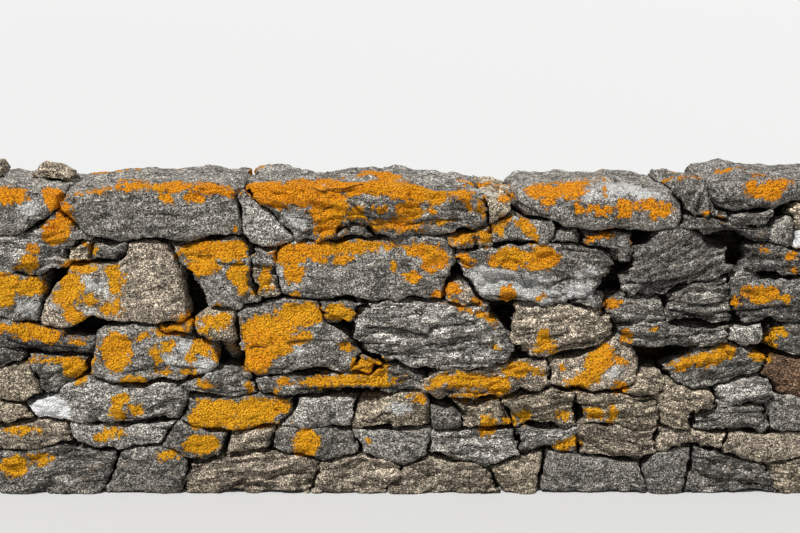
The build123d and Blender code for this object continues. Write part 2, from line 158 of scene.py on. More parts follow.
# How many bumps a metre each pattern has, counted across the foliation for streaks and cracks
SCALES = {
    "mottle": 14.0, "rough": 62.0, "relief": 230.0, "speckle": 270.0, "fleck": 125.0, "crystals": 255.0,
    "streak": 62.0, "crack": 22.0, "fine_crack": 34.0, "broken": 11.0, "stain": 30.0, "ragged": 65.0,
    "hue": 20.0, "grains": 210.0, "lobes": 150.0,
}

# The stones that show in the photograph: middle of the face in metres, rock, tone, foliation angle
FACE_STONES = [
    (-1.28, 0.88, "granite", "grey", 0), (-0.75, 0.86, "granite", "grey", 4),
    (-0.10, 0.88, "gneiss", "grey", -8), (0.60, 0.89, "boulder", "grey", 2),
    (1.22, 0.92, "boulder", "dark", 0), (0.29, 0.87, "granite", "beige", 60),
    (0.89, 0.90, "schist", "grey", 70), (-1.12, 0.97, "chip", "beige", 0),
    (-1.29, 0.97, "chip", "beige", 0),
    (-1.13, 0.75, "gneiss", "pale", 5), (-0.88, 0.73, "chip", "grey", 0),
    (0.37, 0.79, "granite", "grey", 0), (0.50, 0.77, "granite", "grey", 0),
    (0.62, 0.76, "gneiss", "dark", -15), (0.97, 0.80, "schist", "dark", 3),
    (1.14, 0.71, "schist", "dark", -4), (1.25, 0.76, "chip", "white", 0),
    (-1.17, 0.60, "granite", "dark", 5), (-0.83, 0.63, "granite", "brown", 2),
    (-0.56, 0.67, "granite", "grey", 10), (-0.11, 0.68, "granite", "grey", 0),
    (0.39, 0.67, "gneiss", "grey", -10), (0.19, 0.60, "granite", "brown", -30),
    (0.71, 0.56, "gneiss", "grey", 0), (0.84, 0.69, "gneiss", "dark", 25),
    (0.89, 0.57, "schist", "grey", 4), (1.15, 0.58, "gneiss", "dark", 2),
    (-1.12, 0.47, "gneiss", "dark", -8), (-0.32, 0.47, "granite", "grey", 12),
    (0.08, 0.49, "schist", "pale", 6), (0.49, 0.50, "gneiss", "brown", 10),
    (0.81, 0.49, "schist", "grey", 2), (1.03, 0.48, "chip", "pale", 0),
    (1.19, 0.47, "gneiss", "grey", 0),
    (-1.19, 0.40, "gneiss", "grey", 20), (-1.16, 0.33, "chip", "beige", 0),
    (-1.03, 0.37, "gneiss", "grey", 20), (-0.74, 0.42, "granite", "grey", 0),
    (-0.55, 0.33, "schist", "grey", 4), (-0.17, 0.34, "schist", "grey", 0),
    (0.28, 0.34, "schist", "brown", 5), (0.60, 0.37, "granite", "brown", 35),
    (0.94, 0.39, "gneiss", "grey", 12), (1.22, 0.35, "granite", "rust", 0),
    (1.06, 0.31, "gneiss", "pale", 5), (-0.88, 0.27, "veined", "pale", 5),
    (-0.49, 0.24, "granite", "grey", 0), (-0.22, 0.25, "granite", "pale", 10),
    (0.00, 0.25, "granite", "beige", 5), (0.13, 0.23, "chip", "grey", 0),
    (1.00, 0.22, "gneiss", "grey", 8),
]

# Orange crust on the front: middle, half sizes in metres, tilt in degrees
ORANGE = [
    (-1.160, 0.903, 0.055, 0.030, 0), (-1.035, 0.905, 0.030, 0.055, 15), (-1.005, 0.825, 0.028, 0.065, 0),
    (-0.790, 0.930, 0.060, 0.014, 0), (-0.680, 0.930, 0.080, 0.022, -3), (-0.560, 0.922, 0.080, 0.020, -8),
    (-0.690, 0.893, 0.022, 0.018, 0), (-0.610, 0.895, 0.035, 0.018, 0), (-0.900, 0.917, 0.060, 0.009, 8),
    (-0.498, 0.805, 0.014, 0.012, 0), (-0.400, 0.915, 0.085, 0.040, -25), (-0.290, 0.910, 0.090, 0.045, 0),
    (-0.210, 0.860, 0.060, 0.060, 0), (-0.220, 0.795, 0.045, 0.020, 0), (-0.120, 0.930, 0.130, 0.030, 0),
    (-0.010, 0.815, 0.090, 0.020, 0), (-0.130, 0.850, 0.030, 0.022, 0), (-0.060, 0.862, 0.020, 0.010, 0),
    (-1.030, 0.790, 0.045, 0.040, 0), (-1.115, 0.700, 0.032, 0.026, 20), (-1.100, 0.740, 0.018, 0.016, 0),
    (-0.920, 0.742, 0.016, 0.012, 20), (-0.950, 0.756, 0.012, 0.010, 0), (-0.960, 0.690, 0.055, 0.020, -5),
    (-0.990, 0.640, 0.035, 0.045, 20), (-1.000, 0.595, 0.045, 0.030, 0), (-0.985, 0.550, 0.020, 0.035, 25),
    (-0.950, 0.528, 0.040, 0.012, 0), (-0.860, 0.665, 0.022, 0.030, 10), (-0.855, 0.625, 0.022, 0.028, 0),
    (-0.845, 0.575, 0.014, 0.035, 0), (-0.880, 0.560, 0.030, 0.018, 0), (-0.930, 0.590, 0.022, 0.020, 0),
    (-0.825, 0.655, 0.014, 0.010, 0), (-1.200, 0.640, 0.075, 0.035, -5), (-1.110, 0.630, 0.050, 0.032, 0),
    (-1.190, 0.590, 0.030, 0.030, 0), (-0.590, 0.735, 0.080, 0.034, 5), (-0.590, 0.690, 0.050, 0.028, 0),
    (-0.510, 0.735, 0.055, 0.034, 0), (-0.485, 0.665, 0.034, 0.040, 0), (-0.475, 0.625, 0.024, 0.022, 0),
    (-0.432, 0.612, 0.013, 0.010, 0), (-0.548, 0.578, 0.012, 0.006, 0), (-0.403, 0.650, 0.020, 0.036, 10),
    (-0.200, 0.745, 0.190, 0.024, 2), (-0.330, 0.720, 0.050, 0.036, 0), (-0.320, 0.670, 0.032, 0.036, 0),
    (-0.250, 0.715, 0.030, 0.016, 0), (-0.175, 0.712, 0.034, 0.016, 0), (-0.018, 0.690, 0.014, 0.024, 30),
    (-0.318, 0.605, 0.015, 0.008, 0), (-0.160, 0.603, 0.010, 0.007, 0), (-0.180, 0.548, 0.050, 0.030, 0),
    (-0.095, 0.387, 0.055, 0.030, 0), (-0.690, 0.498, 0.052, 0.020, 0), (-1.100, 0.490, 0.100, 0.026, -8),
    (-1.170, 0.505, 0.050, 0.016, -5), (-0.970, 0.465, 0.022, 0.012, 0), (-0.860, 0.445, 0.050, 0.045, 0),
    (-0.850, 0.400, 0.035, 0.030, 0), (-0.735, 0.430, 0.018, 0.036, 0), (-0.780, 0.480, 0.022, 0.012, 0),
    (-0.695, 0.445, 0.022, 0.020, 0), (-0.630, 0.410, 0.014, 0.024, 0), (-0.595, 0.450, 0.030, 0.026, 0),
    (-0.560, 0.420, 0.014, 0.030, 0), (-0.710, 0.370, 0.030, 0.010, 0), (-0.800, 0.345, 0.050, 0.012, 0),
    (-0.640, 0.368, 0.030, 0.010, 0), (-0.640, 0.530, 0.040, 0.020, 0), (-0.545, 0.525, 0.045, 0.026, 0),
    (-0.590, 0.500, 0.020, 0.016, 0), (-1.010, 0.405, 0.100, 0.014, 0), (-0.975, 0.385, 0.050, 0.026, 0),
    (-0.965, 0.355, 0.028, 0.024, 30), (-0.400, 0.500, 0.085, 0.045, 5), (-0.300, 0.545, 0.080, 0.036, 0),
    (-0.430, 0.430, 0.055, 0.050, 0), (-0.360, 0.460, 0.050, 0.040, 0), (-0.290, 0.480, 0.030, 0.022, 0),
    (-0.160, 0.447, 0.030, 0.014, -15), (-0.440, 0.385, 0.036, 0.020, 0),
    (-0.590, 0.340, 0.030, 0.014, -10),
    (-0.448, 0.325, 0.016, 0.015, 0), (-0.350, 0.340, 0.018, 0.016, 0), (-0.378, 0.312, 0.014, 0.012, 0),
    (-0.160, 0.345, 0.150, 0.020, 2), (-0.060, 0.352, 0.036, 0.024, 0), (-0.255, 0.338, 0.060, 0.014, 0),
    (-0.845, 0.290, 0.026, 0.026, 0), (-0.855, 0.245, 0.026, 0.026, 30), (-0.795, 0.258, 0.022, 0.024, 0),
    (-0.560, 0.245, 0.075, 0.046, 0), (-0.440, 0.255, 0.080, 0.042, 0), (-0.360, 0.262, 0.036, 0.026, 0),
    (-0.480, 0.215, 0.110, 0.020, 0), (-0.615, 0.225, 0.030, 0.030, 0), (-1.150, 0.195, 0.060, 0.014, 0),
    (-1.090, 0.110, 0.040, 0.016, 0), (-1.180, 0.085, 0.050, 0.036, 0), (-0.900, 0.180, 0.030, 0.020, 20),
    (-0.860, 0.190, 0.030, 0.016, 0), (-0.705, 0.115, 0.036, 0.016, 10), (-0.600, 0.150, 0.060, 0.032, 0),
    (-0.285, 0.160, 0.048, 0.040, 0), (-0.090, 0.158, 0.010, 0.010, 0), (0.050, 0.915, 0.110, 0.032, -4),
    (0.170, 0.918, 0.034, 0.020, 0), (0.195, 0.902, 0.026, 0.016, 0), (0.200, 0.870, 0.012, 0.028, 10),
    (0.242, 0.868, 0.013, 0.028, 0), (0.030, 0.862, 0.038, 0.030, 0), (0.010, 0.808, 0.060, 0.017, 0),
    (0.130, 0.825, 0.022, 0.008, 0), (0.095, 0.855, 0.012, 0.010, 0), (0.110, 0.888, 0.030, 0.014, 0),
    (0.315, 0.900, 0.024, 0.018, 0), (0.430, 0.915, 0.055, 0.030, -8), (0.500, 0.925, 0.060, 0.034, 0),
    (0.445, 0.878, 0.020, 0.012, 0), (0.440, 0.948, 0.032, 0.008, 0), (0.540, 0.945, 0.030, 0.016, 0),
    (0.535, 0.868, 0.026, 0.014, -55), (0.620, 0.960, 0.065, 0.011, 0), (0.700, 0.955, 0.022, 0.008, 0),
    (0.608, 0.915, 0.009, 0.018, 0), (0.600, 0.860, 0.040, 0.015, 0), (0.668, 0.862, 0.028, 0.028, -30),
    (0.730, 0.873, 0.036, 0.020, 0), (0.760, 0.850, 0.022, 0.020, 0), (0.795, 0.862, 0.022, 0.021, 0),
    (1.040, 0.930, 0.020, 0.020, 0), (1.100, 0.915, 0.050, 0.027, 0), (1.085, 0.970, 0.040, 0.015, 0),
    (1.142, 0.950, 0.030, 0.013, 0), (1.125, 0.932, 0.030, 0.018, 0), (0.895, 0.953, 0.009, 0.007, 0),
    (0.918, 0.850, 0.012, 0.011, 0), (0.958, 0.838, 0.010, 0.008, 0), (0.190, 0.776, 0.046, 0.022, 10),
    (0.250, 0.776, 0.021, 0.028, 15), (0.292, 0.800, 0.022, 0.020, 30), (0.320, 0.830, 0.020, 0.012, 0),
    (0.380, 0.806, 0.036, 0.017, -45), (0.400, 0.765, 0.014, 0.012, 0), (0.600, 0.780, 0.045, 0.011, 18),
    (0.695, 0.765, 0.012, 0.010, 0), (0.060, 0.738, 0.052, 0.025, 0), (0.105, 0.716, 0.038, 0.028, 0),
    (0.088, 0.690, 0.022, 0.015, 0), (0.038, 0.655, 0.024, 0.022, 0), (0.120, 0.605, 0.018, 0.014, 0),
    (0.158, 0.625, 0.024, 0.024, 0), (0.190, 0.567, 0.048, 0.010, -22), (0.235, 0.590, 0.020, 0.012, -45),
    (0.195, 0.713, 0.034, 0.021, -20), (0.330, 0.710, 0.062, 0.032, 0), (0.425, 0.710, 0.055, 0.037, 0),
    (0.322, 0.600, 0.026, 0.034, 0), (0.425, 0.592, 0.016, 0.008, 0), (0.240, 0.548, 0.018, 0.012, 0),
    (0.272, 0.530, 0.030, 0.018, -35), (0.288, 0.448, 0.014, 0.012, 0), (0.635, 0.578, 0.032, 0.015, 0),
    (1.090, 0.606, 0.064, 0.026, -4), (1.145, 0.595, 0.028, 0.013, -10), (1.010, 0.585, 0.020, 0.014, 0),
    (1.095, 0.742, 0.018, 0.008, -10), (1.175, 0.722, 0.030, 0.012, 0), (1.180, 0.680, 0.016, 0.010, 0),
    (0.680, 0.480, 0.020, 0.022, 0), (0.762, 0.498, 0.012, 0.010, 0), (1.115, 0.474, 0.026, 0.016, 35),
    (1.142, 0.494, 0.022, 0.018, 0), (1.130, 0.445, 0.014, 0.010, -50), (0.855, 0.397, 0.040, 0.018, 22),
    (0.930, 0.412, 0.055, 0.020, 5), (0.975, 0.430, 0.035, 0.027, 0), (1.085, 0.421, 0.034, 0.021, -15),
    (0.600, 0.402, 0.055, 0.036, 35), (0.560, 0.352, 0.062, 0.026, 28), (0.625, 0.440, 0.018, 0.028, 0),
    (0.530, 0.336, 0.040, 0.015, 0), (0.660, 0.411, 0.030, 0.013, 0), (0.665, 0.322, 0.024, 0.019, 0),
    (0.490, 0.385, 0.010, 0.010, 0), (0.205, 0.345, 0.090, 0.027, 0), (0.120, 0.340, 0.038, 0.020, 20),
    (0.240, 0.300, 0.085, 0.015, 0), (0.300, 0.332, 0.036, 0.036, 0), (0.355, 0.378, 0.050, 0.025, 0),
    (0.415, 0.376, 0.022, 0.014, 0), (0.435, 0.472, 0.028, 0.028, 0), (0.440, 0.440, 0.036, 0.014, 0),
    (0.590, 0.245, 0.030, 0.019, 0), (0.642, 0.240, 0.016, 0.025, 0), (0.265, 0.206, 0.030, 0.034, 0),
    (0.332, 0.220, 0.022, 0.020, 0), (0.380, 0.236, 0.018, 0.022, 0), (0.492, 0.240, 0.028, 0.017, 0),
    (0.510, 0.150, 0.040, 0.018, 10), (0.055, 0.290, 0.028, 0.017, 0),
]

# Pale crust on the front, given the same way
PALE = [
    (-1.110, 0.862, 0.036, 0.022, 10), (-0.935, 0.635, 0.045, 0.026, 0), (-0.882, 0.615, 0.016, 0.024, 0),
    (-0.930, 0.550, 0.030, 0.014, 0), (-0.600, 0.390, 0.070, 0.026, 0), (-0.640, 0.450, 0.040, 0.020, 0),
    (-0.700, 0.420, 0.030, 0.022, 0), (-0.305, 0.820, 0.035, 0.024, -20), (0.300, 0.668, 0.050, 0.022, 0),
    (0.230, 0.925, 0.060, 0.016, -20),
    (0.640, 0.920, 0.060, 0.030, 0), (0.720, 0.912, 0.070, 0.026, -10), (0.560, 0.905, 0.024, 0.028, 0),
    (0.245, 0.645, 0.055, 0.045, -40), (0.340, 0.612, 0.080, 0.036, -8), (0.420, 0.602, 0.060, 0.032, 0),
    (0.530, 0.617, 0.055, 0.028, 5), (0.555, 0.668, 0.045, 0.016, 10), (0.400, 0.650, 0.060, 0.020, 0),
    (0.300, 0.640, 0.040, 0.026, 0), (-0.375, 0.530, 0.016, 0.015, 0), (-0.300, 0.445, 0.030, 0.012, 0),
    (-0.545, 0.655, 0.012, 0.010, 0), (-1.040, 0.570, 0.020, 0.012, 0), (-1.120, 0.565, 0.040, 0.024, 0),
    (-0.010, 0.265, 0.050, 0.020, 0), (0.640, 0.366, 0.040, 0.016, 20), (1.120, 0.978, 0.040, 0.010, 0),
    (-0.870, 0.350, 0.040, 0.012, 0), (-0.060, 0.740, 0.030, 0.016, 0), (-0.360, 0.670, 0.014, 0.024, 0),
]
QUARTZ = [(-1.075, 0.256, 0.082, 0.050, 0)]     # the white end of one stone

# Broken ledges read from the photograph: how far the stone steps back, then the edge from left to right
LEDGES = [
    (0.006, (-0.985, 0.845), (-0.950, 0.842)),
    (0.006, (-0.760, 0.849), (-0.720, 0.850), (-0.680, 0.845), (-0.645, 0.847)),
    (0.008, (-1.010, 0.742), (-0.955, 0.742), (-0.930, 0.753)), (0.008, (-1.027, 0.730), (-0.995, 0.708)),
    (0.006, (-0.918, 0.710), (-0.860, 0.710), (-0.818, 0.742)),
    (0.012, (-0.270, 0.931), (-0.250, 0.923), (-0.230, 0.917), (-0.210, 0.912)),
    (0.006, (-0.230, 0.923), (-0.170, 0.925), (-0.135, 0.933), (-0.100, 0.940)),
    (0.008, (-0.105, 0.918), (-0.065, 0.914)),
    (0.010, (-0.163, 0.891), (-0.132, 0.872), (-0.120, 0.857), (-0.085, 0.850)),
    (0.008, (-0.240, 0.851), (-0.220, 0.866), (-0.190, 0.872)),
    (0.006, (-0.287, 0.855), (-0.260, 0.849), (-0.252, 0.832)), (0.008, (-0.100, 0.836), (0.000, 0.834)),
    (0.008, (-0.100, 0.823), (-0.060, 0.815), (-0.030, 0.806)),
    (0.008, (0.040, 0.832), (0.113, 0.830), (0.190, 0.832)),
    (0.006, (0.012, 0.817), (0.040, 0.819), (0.075, 0.828)),
    (0.010, (-0.615, 0.722), (-0.590, 0.723), (-0.558, 0.727)),
    (0.010, (-0.555, 0.704), (-0.530, 0.700), (-0.475, 0.698), (-0.458, 0.700)),
    (0.006, (-0.190, 0.547), (-0.172, 0.539), (-0.155, 0.546)),
    (0.006, (0.100, 0.660), (0.140, 0.658), (0.155, 0.666)),
    (0.008, (0.333, 0.888), (0.390, 0.866), (0.415, 0.849), (0.453, 0.840)),
    (0.010, (0.457, 0.640), (0.497, 0.653), (0.535, 0.660)),
    (0.010, (0.930, 0.895), (0.950, 0.882), (0.995, 0.887), (1.035, 0.889)),
    (0.010, (1.035, 0.876), (1.065, 0.872), (1.105, 0.880)),
    (0.008, (0.885, 0.792), (0.910, 0.784), (0.945, 0.788), (0.975, 0.795)),
    (0.008, (0.980, 0.785), (1.020, 0.780), (1.050, 0.773), (1.100, 0.771)),
    (0.004, (0.825, 0.700), (0.862, 0.704), (0.900, 0.725), (0.930, 0.742)),
    (0.006, (0.870, 0.660), (0.895, 0.674), (0.925, 0.682)),
    (0.014, (0.665, 0.650), (0.700, 0.642), (0.750, 0.642), (0.793, 0.650), (0.835, 0.653), (0.870, 0.661)),
    (0.012, (0.755, 0.625), (0.790, 0.627), (0.830, 0.632), (0.870, 0.648)),
    (0.010, (0.760, 0.606), (0.790, 0.610), (0.830, 0.614)),
    (0.012, (0.785, 0.596), (0.810, 0.588), (0.852, 0.586), (0.880, 0.575), (0.930, 0.577), (0.980, 0.588)),
    (0.014, (0.800, 0.562), (0.870, 0.553), (0.895, 0.543), (0.940, 0.545), (0.975, 0.556), (1.020, 0.558),
        (1.080, 0.562), (1.125, 0.573), (1.190, 0.570)),
    (0.010, (0.800, 0.539), (0.845, 0.532), (0.895, 0.528), (0.955, 0.537), (1.020, 0.539), (1.075, 0.541),
        (1.125, 0.537)), (0.010, (1.045, 0.730), (1.080, 0.720), (1.110, 0.713), (1.145, 0.706)),
    (0.010, (1.025, 0.692), (1.055, 0.675), (1.100, 0.670), (1.140, 0.672)),
    (0.010, (-1.190, 0.474), (-1.150, 0.463), (-1.107, 0.448), (-1.060, 0.452), (-1.000, 0.450),
        (-0.965, 0.446)),
    (0.010, (-0.842, 0.369), (-0.818, 0.375), (-0.775, 0.381), (-0.732, 0.386), (-0.700, 0.394)),
    (0.006, (-0.700, 0.399), (-0.675, 0.390), (-0.650, 0.388), (-0.603, 0.386), (-0.580, 0.384)),
    (0.008, (-0.942, 0.300), (-0.930, 0.270), (-0.925, 0.243), (-0.905, 0.218)),
    (0.014, (-0.775, 0.252), (-0.748, 0.269), (-0.715, 0.283), (-0.663, 0.296)),
    (0.010, (-0.850, 0.234), (-0.817, 0.230), (-0.775, 0.232), (-0.735, 0.241), (-0.700, 0.252)),
    (0.010, (-0.405, 0.381), (-0.360, 0.386), (-0.320, 0.377), (-0.255, 0.384), (-0.207, 0.390)),
    (0.006, (-0.220, 0.477), (-0.190, 0.459), (-0.148, 0.468)),
    (0.006, (-0.348, 0.461), (-0.310, 0.468), (-0.250, 0.472), (-0.213, 0.468)),
    (0.006, (-0.490, 0.438), (-0.458, 0.431)), (0.006, (-0.460, 0.446), (-0.430, 0.450), (-0.397, 0.448)),
    (0.018, (-0.108, 0.508), (-0.049, 0.508), (0.003, 0.505), (0.050, 0.487), (0.082, 0.489),
        (0.090, 0.505), (0.122, 0.520)),
    (0.010, (-0.152, 0.480), (-0.126, 0.463), (-0.083, 0.457), (-0.040, 0.459), (0.000, 0.457)),
    (0.010, (-0.087, 0.446), (-0.066, 0.437), (-0.040, 0.431), (0.000, 0.427)),
    (0.008, (0.015, 0.438), (0.050, 0.442), (0.094, 0.462), (0.122, 0.453)),
    (0.006, (0.006, 0.540), (0.050, 0.552), (0.070, 0.544)),
    (0.008, (0.150, 0.517), (0.190, 0.519), (0.205, 0.525)),
    (0.006, (0.156, 0.540), (0.200, 0.530), (0.230, 0.523)),
    (0.012, (-0.322, 0.321), (-0.275, 0.323), (-0.190, 0.325), (-0.105, 0.325), (0.000, 0.323)),
    (0.005, (-0.152, 0.381), (-0.127, 0.379), (-0.100, 0.394)),
    (0.010, (-0.220, 0.234), (-0.200, 0.242), (-0.190, 0.260)),
    (0.010, (-0.105, 0.226), (-0.080, 0.230), (-0.052, 0.247), (-0.018, 0.252)),
    (0.010, (-0.120, 0.235), (-0.092, 0.217), (-0.060, 0.226), (-0.018, 0.217)),
    (0.010, (0.128, 0.317), (0.170, 0.313), (0.226, 0.308), (0.260, 0.313), (0.300, 0.308)),
    (0.008, (0.157, 0.295), (0.210, 0.293), (0.260, 0.300), (0.303, 0.293)),
    (0.006, (0.243, 0.364), (0.285, 0.362), (0.303, 0.373)), (0.010, (0.337, 0.349), (0.390, 0.347)),
    (0.010, (0.460, 0.441), (0.490, 0.450), (0.525, 0.463), (0.563, 0.459), (0.600, 0.472)),
    (0.006, (0.443, 0.477), (0.470, 0.485), (0.500, 0.485)),
    (0.006, (0.935, 0.347), (0.975, 0.355), (1.035, 0.373), (1.077, 0.381)),
]

chance = np.random.default_rng(SEED)
SHUFFLED = chance.permutation(256)
SLOPES = chance.normal(size=(256, 3))
SLOPES /= np.linalg.norm(SLOPES, axis=1)[:, None]


def noise(points, cell, seed=0):
    """Smooth noise, about -1 to 1, with bumps about one cell across. The cell may be three sizes."""
    places = points / cell + seed * 17.31
    base = np.floor(places).astype(int)
    inside = places - base
    ease = inside ** 3 * (inside * (inside * 6 - 15) + 10)
    total = np.zeros(len(points))
    for corner in np.ndindex(2, 2, 2):
        at = (base + corner) & 255
        pick = SHUFFLED[(SHUFFLED[(SHUFFLED[at[:, 0]] + at[:, 1]) & 255] + at[:, 2]) & 255]
        lean = ((inside - corner) * SLOPES[pick]).sum(axis=1)
        total += lean * np.where(corner, ease, 1 - ease).prod(axis=1)
    return total * 1.7


def smooth_step(value, low, high):
    part = np.clip((value - low) / (high - low), 0, 1)
    return part * part * (3 - 2 * part)


def half_thickness(z):
    """Half of the wall's thickness at a height, which the batter sets."""
    return BASE_HALF + (BED_HALF - BASE_HALF) * np.clip(z / BED_HEIGHT, 0, 1)


def buried(points):
    """How far inside the wall's outer surface each point lies."""
    x, y, z = points.T
    sides = np.minimum(half_thickness(z) - np.abs(y), cad_high.x - np.abs(x))
    over = np.where(z > BED_HEIGHT + 0.02, np.maximum(CAP_LEVEL - z, 0), 1.0)
    return np.clip(np.minimum(sides, over), 0, 1)


def stones_of(node):
    """The loose stones of a CAD node, each as (points, faces)."""
    mesh = frame["nodes"][node].data
    points = np.empty(len(mesh.vertices) * 3)
    mesh.vertices.foreach_get("co", points)
    points = points.reshape(-1, 3)
    keys = np.round(points, 5)
    merged, index = np.unique(keys, axis=0, return_inverse=True)
    index = index.reshape(-1)
    faces = [[int(index[v]) for v in polygon.vertices] for polygon in mesh.polygons]
    leader = list(range(len(merged)))

    def head(v):
        while leader[v] != v:
            leader[v] = leader[leader[v]]
            v = leader[v]
        return v

    for face in faces:
        for v in face[1:]:
            leader[head(v)] = head(face[0])
    groups = defaultdict(list)
    for face in faces:
        groups[head(face[0])].append(face)
    stones = []
    for start in sorted(groups):
        used = sorted({v for face in groups[start] for v in face})
        place = {v: i for i, v in enumerate(used)}
        stones.append((merged[used], [[place[v] for v in face] for face in groups[start]]))
    return stones


def mesh_from(points, faces, name="scratch"):
    mesh = bpy.data.meshes.new(name)
    mesh.from_pydata(points, [], faces)
    mesh.update()
    return mesh


def arrays_of(mesh):
    """Points, normals and faces of a mesh."""
    count = len(mesh.vertices)
    points = np.empty(count * 3)
    normals = np.empty(count * 3)
    mesh.vertices.foreach_get("co", points)
    mesh.vertex_normals.foreach_get("vector", normals)
    corners = np.empty(len(mesh.loops), dtype=int)
    mesh.loops.foreach_get("vertex_index", corners)
    sizes = np.empty(len(mesh.polygons), dtype=int)
    mesh.polygons.foreach_get("loop_total", sizes)
    faces = np.split(corners, np.cumsum(sizes)[:-1])
    return points.reshape(-1, 3), normals.reshape(-1, 3), faces


def through(points, faces, *steps):
    """The mesh after some modifiers, each given as (kind, settings)."""
    scratch = bpy.data.objects.new("scratch", mesh_from(points, faces))
    bpy.context.scene.collection.objects.link(scratch)
    for kind, settings in steps:
        modifier = scratch.modifiers.new(kind, kind)
        for key, value in settings.items():
            setattr(modifier, key, value)
    bpy.context.view_layer.update()
    mesh = bpy.data.meshes.new_from_object(scratch.evaluated_get(bpy.context.evaluated_depsgraph_get()))
    result = arrays_of(mesh)
    old = scratch.data
    bpy.data.objects.remove(scratch)
    bpy.data.meshes.remove(old)
    bpy.data.meshes.remove(mesh)
    return result


def warped(points):
    """The points after the wall's common warp, which bends joints and keeps them closed."""
    fade_up = smooth_step(points[:, 2], *WARP_FADE)
    fade_along = smooth_step(cad_high.x - np.abs(points[:, 0]), *WARP_FADE)
    moved = points.copy()
    for size, reach, seed in WARPS:
        moved[:, 0] += fade_along * reach * noise(points, size, seed)
        moved[:, 2] += fade_up * reach * noise(points, size, seed + 10)
    return moved


def turned(points, angle):
    """The points in a frame whose first axis follows a stone's foliation."""
    tilt = math.radians(angle)
    x, y, z = points.T
    return np.column_stack((
        x * math.cos(tilt) + z * math.sin(tilt),
        y,
        z * math.cos(tilt) - x * math.sin(tilt),
    ))


def stepped(value):
    """A smooth value turned into treads with steep risers."""
    whole = np.floor(value)
    return whole + smooth_step(value - whole, 0.36, 0.64)


def slabs(grain, long, seed):
    """How far the broken slabs of foliation stand out, about -1 to 1."""
    wander = 0.8 * noise(grain, np.array(SLAB_WANDER), seed + 5)
    places = grain.copy()
    places[:, 2] = SLAB * stepped(grain[:, 2] / SLAB + wander)
    out = noise(places, np.array((SLAB_LENGTH * long, SLAB_LENGTH * long, SLAB * 0.9)), seed + 6)
    return np.clip(stepped(out * 3.0 + 0.5) / 2.4, -1, 1)


def ledge_fields(points):
    """How far broken ledges set each point back, how far below an edge it lies, and how near that edge is."""
    x, z = as_pictured(points)
    flat = np.column_stack((x, 0 * x, z))
    z = z + 0.003 * noise(flat, 0.022, 61)
    front = smooth_step(-points[:, 1], 0.06, 0.12)
    back = np.zeros(len(points))
    near = np.zeros(len(points))
    drop = np.full(len(points), LEDGE_REACH)
    for depth, *edge in LEDGES:
        edge_x, edge_z = np.array(edge).T
        if edge_x[0] > x.max() or edge_x[-1] < x.min() or abs(edge_z.mean() - z.mean()) > 0.2:
            continue
        below = np.interp(x, edge_x, edge_z) - z
        ends = smooth_step(x - edge_x[0], 0, LEDGE_END) * smooth_step(edge_x[-1] - x, 0, LEDGE_END)
        under = smooth_step(below, -0.002, 0.003) * np.exp(-np.maximum(below, 0) / (0.010 + 1.4 * depth))
        lip = smooth_step(-below, -0.002, 0.002) * np.exp(-np.maximum(-below, 0) / 0.012)
        back += depth * ends * (under - 0.35 * lip)
        closer = (ends > 0.02) & (np.abs(below) < np.abs(drop))
        drop = np.where(closer, below, drop)
        near = np.where(closer, ends * (1 - smooth_step(np.abs(below), 0.009, 0.014)), near)
    return front * back, drop, front * near


def weathered(points, normals, rock, angle, seed):
    """The points of one stone after its lumps, dents, foliation and grit."""
    look = ROCKS[rock]
    bare = 1 - 0.85 * smooth_step(buried(points), *JOINT_FADE)
    grain = turned(points, angle)
    long = look["stretch"]
    sides = 1 - 0.6 * smooth_step(normals[:, 2], 0.5, 0.9)
    rise = look["lump"] * (noise(points, LUMP_SIZE, seed) - 0.15)
    rise += look["dent"] * (noise(points, DENT_SIZE, seed + 3) - 0.15)
    rise += look["ledge"] * sides * (slabs(grain, long, seed) - 0.35)
    thin = noise(grain, np.array((LEAF_LENGTH * long, LEAF_LENGTH * long, LEAF)), seed + 7)
    rise += look["ledge"] * 0.35 * sides * np.clip(thin * 2.0, -1, 1)
    rise += look["grit"] * (noise(points, GRIT_SIZE, seed + 9) - 0.2)
    rise -= ledge_fields(warped(points))[0]
    return points + normals * (bare * rise)[:, None]


def boxed(points):
    """The points, held inside the CAD box."""
    low = np.array(cad_low) + (BOX_MARGIN, BOX_MARGIN, 0)
    high = np.array(cad_high) - BOX_MARGIN
    return np.clip(points, low, high)


def look_of(node, centre):
    """Rock, colour and foliation angle of a stone: read from the photograph, or else drawn by chance."""
    near = min(FACE_STONES, key=lambda row: math.dist(row[:2], (centre[0], centre[2])))
    close = math.dist(near[:2], (centre[0], centre[2]))
    seen = node.startswith(("front", "cap", "loose"))
    if seen and close < (CAP_REACH if node.startswith("cap_stone") else STONE_REACH):
        return near[2:]
    pick = np.random.default_rng(int(abs(centre[0] * 977 + centre[1] * 613 + centre[2] * 359) * 100) + SEED)
    rock = pick.choice(OTHER_ROCKS)
    tone = pick.choice(OTHER_TONES, p=TONE_ODDS)
    return str(rock), str(tone), float(pick.uniform(-OTHER_ANGLE, OTHER_ANGLE))


def as_pictured(points):
    """Where on the front face the camera sees each point: place along the wall, and height."""
    eye = np.array(CAMERA_PLACE)
    rays = points - eye
    x, z = points[:, 0], points[:, 2]
    for _ in range(3):
        reach = (-half_thickness(z) - eye[1]) / rays[:, 1]
        x = eye[0] + rays[:, 0] * reach
        z = eye[2] + rays[:, 2] * reach
    return x, z


